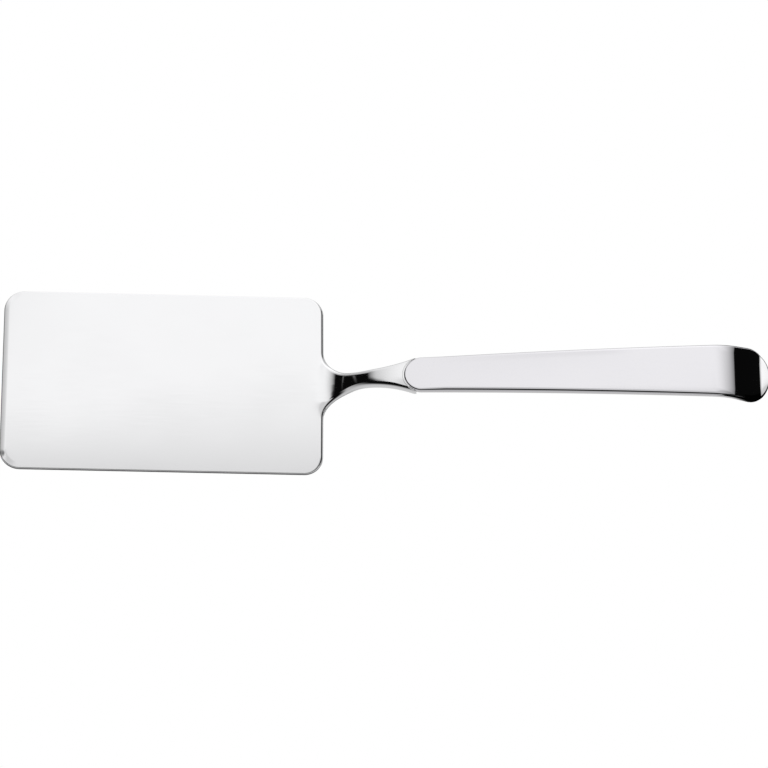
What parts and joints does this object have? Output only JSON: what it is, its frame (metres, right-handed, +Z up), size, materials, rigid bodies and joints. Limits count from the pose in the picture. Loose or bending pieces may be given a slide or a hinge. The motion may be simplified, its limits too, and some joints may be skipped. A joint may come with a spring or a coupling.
{
  "type": "lasagna server",
  "caption": "Polished steel server for lifting out slices: a flat rectangular blade on a cranked neck, with a hollow handle whose tip turns down.",
  "frame": {"origin": "middle of the blade's flat underside", "axes": "+X along the server from the blade's front edge to the handle's tip, +Y across the blade, +Z up from the blade's serving face"},
  "size_m": [0.2607, 0.065, 0.0234],
  "materials": {
    "blade_steel": "mirror-polished stainless steel, stamped plate",
    "collar_steel": "mirror-polished stainless steel, bright ring",
    "handle_steel": "mirror-polished stainless steel, pressed shell",
    "solder": "silver-brass brazing alloy, polished flush",
    "cement": "cast resin cement, matte"
  },
  "bodies": {
    "root": {"blade": "blade_steel", "neck_collar": "collar_steel", "handle_upper_shell": "handle_steel", "handle_lower_shell": "handle_steel", "seam_solder": "solder", "tang_cement": "cement"}
  },
  "joints": []
}
